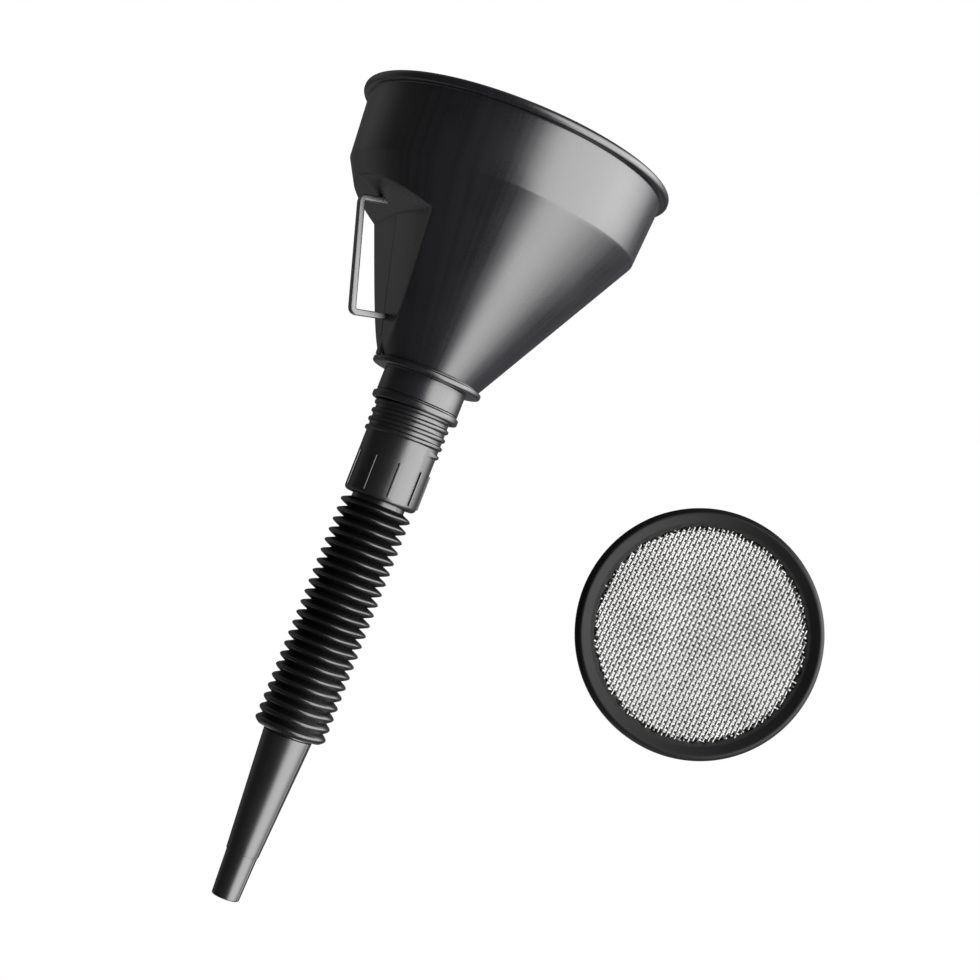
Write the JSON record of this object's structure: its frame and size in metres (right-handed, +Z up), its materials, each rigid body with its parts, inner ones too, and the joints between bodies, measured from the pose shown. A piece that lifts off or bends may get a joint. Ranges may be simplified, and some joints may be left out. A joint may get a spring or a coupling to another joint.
{
  "type": "funnel",
  "caption": "Wide-mouthed plastic funnel with a handle set into its side, a screw-on bending spout with a tapered nozzle, and a loose wire-mesh strainer.",
  "frame": {"origin": "on the funnel's axis, at the underside of the flange", "axes": "+Z up the axis towards the mouth, -X towards the handle, Y across the handle's plane"},
  "size_m": [0.3023, 0.16, 0.3923],
  "materials": {
    "moulded_black": "satin, with a soft sheen",
    "hose_black": "matte, soft plastic",
    "ring_black": "matte",
    "steel_wire": "bright drawn wire"
  },
  "bodies": {
    "bowl": {"bowl": "moulded_black", "handle": "moulded_black"},
    "cuff": {"hose_cuff": "hose_black"},
    "coupling": {"coupling": "moulded_black"},
    "fold_01": {"hose_fold_01": "hose_black"},
    "fold_02": {"hose_fold_02": "hose_black"},
    "fold_03": {"hose_fold_03": "hose_black"},
    "fold_04": {"hose_fold_04": "hose_black"},
    "fold_05": {"hose_fold_05": "hose_black"},
    "fold_06": {"hose_fold_06": "hose_black"},
    "fold_07": {"hose_fold_07": "hose_black"},
    "fold_08": {"hose_fold_08": "hose_black"},
    "fold_09": {"hose_fold_09": "hose_black"},
    "fold_10": {"hose_fold_10": "hose_black"},
    "fold_11": {"hose_fold_11": "hose_black"},
    "fold_12": {"hose_fold_12": "hose_black"},
    "fold_13": {"hose_fold_13": "hose_black"},
    "fold_14": {"hose_fold_14": "hose_black"},
    "fold_15": {"hose_fold_15": "hose_black"},
    "fold_16": {"hose_fold_16": "hose_black"},
    "fold_17": {"hose_fold_17": "hose_black"},
    "fold_18": {"hose_fold_18": "hose_black"},
    "fold_19": {"hose_fold_19": "hose_black"},
    "fold_20": {"hose_fold_20": "hose_black"},
    "fold_21": {"hose_fold_21": "hose_black"},
    "fold_22": {"hose_fold_22": "hose_black"},
    "nozzle": {"nozzle": "moulded_black"},
    "strainer": {"strainer_ring": "ring_black", "strainer_mesh": "steel_wire"}
  },
  "joints": [
    {"name": "spout_unscrew", "type": "slide", "parent": "bowl", "child": "cuff", "axis": [0, 0, -1], "range_m": [0, 0.0124]},
    {"name": "coupling_turn", "type": "hinge", "parent": "cuff", "child": "coupling", "pos_m": [0, 0, -0.0492], "axis": [0, 0, -1], "range_deg": [0, 1014]},
    {"name": "hose_swivel", "type": "hinge", "parent": "cuff", "child": "fold_01", "pos_m": [0, 0, -0.06515], "axis": [0, 0, 1], "continuous": true},
    {"name": "fold_02_bend", "type": "hinge", "parent": "fold_01", "child": "fold_02", "pos_m": [0, 0, -0.07051], "axis": [0, 1, 0], "range_deg": [-4.2, 4.2]},
    {"name": "fold_03_bend", "type": "hinge", "parent": "fold_02", "child": "fold_03", "pos_m": [0, 0, -0.07587], "axis": [0, 1, 0], "range_deg": [-4.2, 4.2]},
    {"name": "fold_04_bend", "type": "hinge", "parent": "fold_03", "child": "fold_04", "pos_m": [0, 0, -0.08123], "axis": [0, 1, 0], "range_deg": [-4.2, 4.2]},
    {"name": "fold_05_bend", "type": "hinge", "parent": "fold_04", "child": "fold_05", "pos_m": [0, 0, -0.08659], "axis": [0, 1, 0], "range_deg": [-4.2, 4.2]},
    {"name": "fold_06_bend", "type": "hinge", "parent": "fold_05", "child": "fold_06", "pos_m": [0, 0, -0.09195], "axis": [0, 1, 0], "range_deg": [-4.2, 4.2]},
    {"name": "fold_07_bend", "type": "hinge", "parent": "fold_06", "child": "fold_07", "pos_m": [0, 0, -0.09731], "axis": [0, 1, 0], "range_deg": [-4.2, 4.2]},
    {"name": "fold_08_bend", "type": "hinge", "parent": "fold_07", "child": "fold_08", "pos_m": [0, 0, -0.10267], "axis": [0, 1, 0], "range_deg": [-4.2, 4.2]},
    {"name": "fold_09_bend", "type": "hinge", "parent": "fold_08", "child": "fold_09", "pos_m": [0, 0, -0.10803], "axis": [0, 1, 0], "range_deg": [-4.2, 4.2]},
    {"name": "fold_10_bend", "type": "hinge", "parent": "fold_09", "child": "fold_10", "pos_m": [0, 0, -0.11339], "axis": [0, 1, 0], "range_deg": [-4.2, 4.2]},
    {"name": "fold_11_bend", "type": "hinge", "parent": "fold_10", "child": "fold_11", "pos_m": [0, 0, -0.11875], "axis": [0, 1, 0], "range_deg": [-4.2, 4.2]},
    {"name": "fold_12_bend", "type": "hinge", "parent": "fold_11", "child": "fold_12", "pos_m": [0, 0, -0.12411], "axis": [0, 1, 0], "range_deg": [-4.2, 4.2]},
    {"name": "fold_13_bend", "type": "hinge", "parent": "fold_12", "child": "fold_13", "pos_m": [0, 0, -0.12947], "axis": [0, 1, 0], "range_deg": [-4.2, 4.2]},
    {"name": "fold_14_bend", "type": "hinge", "parent": "fold_13", "child": "fold_14", "pos_m": [0, 0, -0.13483], "axis": [0, 1, 0], "range_deg": [-4.2, 4.2]},
    {"name": "fold_15_bend", "type": "hinge", "parent": "fold_14", "child": "fold_15", "pos_m": [0, 0, -0.14019], "axis": [0, 1, 0], "range_deg": [-4.2, 4.2]},
    {"name": "fold_16_bend", "type": "hinge", "parent": "fold_15", "child": "fold_16", "pos_m": [0, 0, -0.14555], "axis": [0, 1, 0], "range_deg": [-4.2, 4.2]},
    {"name": "fold_17_bend", "type": "hinge", "parent": "fold_16", "child": "fold_17", "pos_m": [0, 0, -0.15091], "axis": [0, 1, 0], "range_deg": [-4.2, 4.2]},
    {"name": "fold_18_bend", "type": "hinge", "parent": "fold_17", "child": "fold_18", "pos_m": [0, 0, -0.15627], "axis": [0, 1, 0], "range_deg": [-4.2, 4.2]},
    {"name": "fold_19_bend", "type": "hinge", "parent": "fold_18", "child": "fold_19", "pos_m": [0, 0, -0.16163], "axis": [0, 1, 0], "range_deg": [-4.2, 4.2]},
    {"name": "fold_20_bend", "type": "hinge", "parent": "fold_19", "child": "fold_20", "pos_m": [0, 0, -0.16699], "axis": [0, 1, 0], "range_deg": [-4.2, 4.2]},
    {"name": "fold_21_bend", "type": "hinge", "parent": "fold_20", "child": "fold_21", "pos_m": [0, 0, -0.17235], "axis": [0, 1, 0], "range_deg": [-4.2, 4.2]},
    {"name": "fold_22_bend", "type": "hinge", "parent": "fold_21", "child": "fold_22", "pos_m": [0, 0, -0.17771], "axis": [0, 1, 0], "range_deg": [-4.2, 4.2]},
    {"name": "nozzle_bend", "type": "hinge", "parent": "fold_22", "child": "nozzle", "pos_m": [0, 0, -0.18307], "axis": [0, 1, 0], "range_deg": [-4.2, 4.2]},
    {"name": "strainer_lift", "type": "slide", "parent": "bowl", "child": "strainer", "axis": [0, 0, 1], "range_m": [0, 0.1]}
  ],
  "couplings": [
    {"joint": "spout_unscrew", "follows": "coupling_turn", "m_per_rad": 0.00070028},
    {"joint": "fold_03_bend", "follows": "fold_02_bend", "ratio": 1},
    {"joint": "fold_04_bend", "follows": "fold_02_bend", "ratio": 1},
    {"joint": "fold_05_bend", "follows": "fold_02_bend", "ratio": 1},
    {"joint": "fold_06_bend", "follows": "fold_02_bend", "ratio": 1},
    {"joint": "fold_07_bend", "follows": "fold_02_bend", "ratio": 1},
    {"joint": "fold_08_bend", "follows": "fold_02_bend", "ratio": 1},
    {"joint": "fold_09_bend", "follows": "fold_02_bend", "ratio": 1},
    {"joint": "fold_10_bend", "follows": "fold_02_bend", "ratio": 1},
    {"joint": "fold_11_bend", "follows": "fold_02_bend", "ratio": 1},
    {"joint": "fold_12_bend", "follows": "fold_02_bend", "ratio": 1},
    {"joint": "fold_13_bend", "follows": "fold_02_bend", "ratio": 1},
    {"joint": "fold_14_bend", "follows": "fold_02_bend", "ratio": 1},
    {"joint": "fold_15_bend", "follows": "fold_02_bend", "ratio": 1},
    {"joint": "fold_16_bend", "follows": "fold_02_bend", "ratio": 1},
    {"joint": "fold_17_bend", "follows": "fold_02_bend", "ratio": 1},
    {"joint": "fold_18_bend", "follows": "fold_02_bend", "ratio": 1},
    {"joint": "fold_19_bend", "follows": "fold_02_bend", "ratio": 1},
    {"joint": "fold_20_bend", "follows": "fold_02_bend", "ratio": 1},
    {"joint": "fold_21_bend", "follows": "fold_02_bend", "ratio": 1},
    {"joint": "fold_22_bend", "follows": "fold_02_bend", "ratio": 1},
    {"joint": "nozzle_bend", "follows": "fold_02_bend", "ratio": 1}
  ]
}
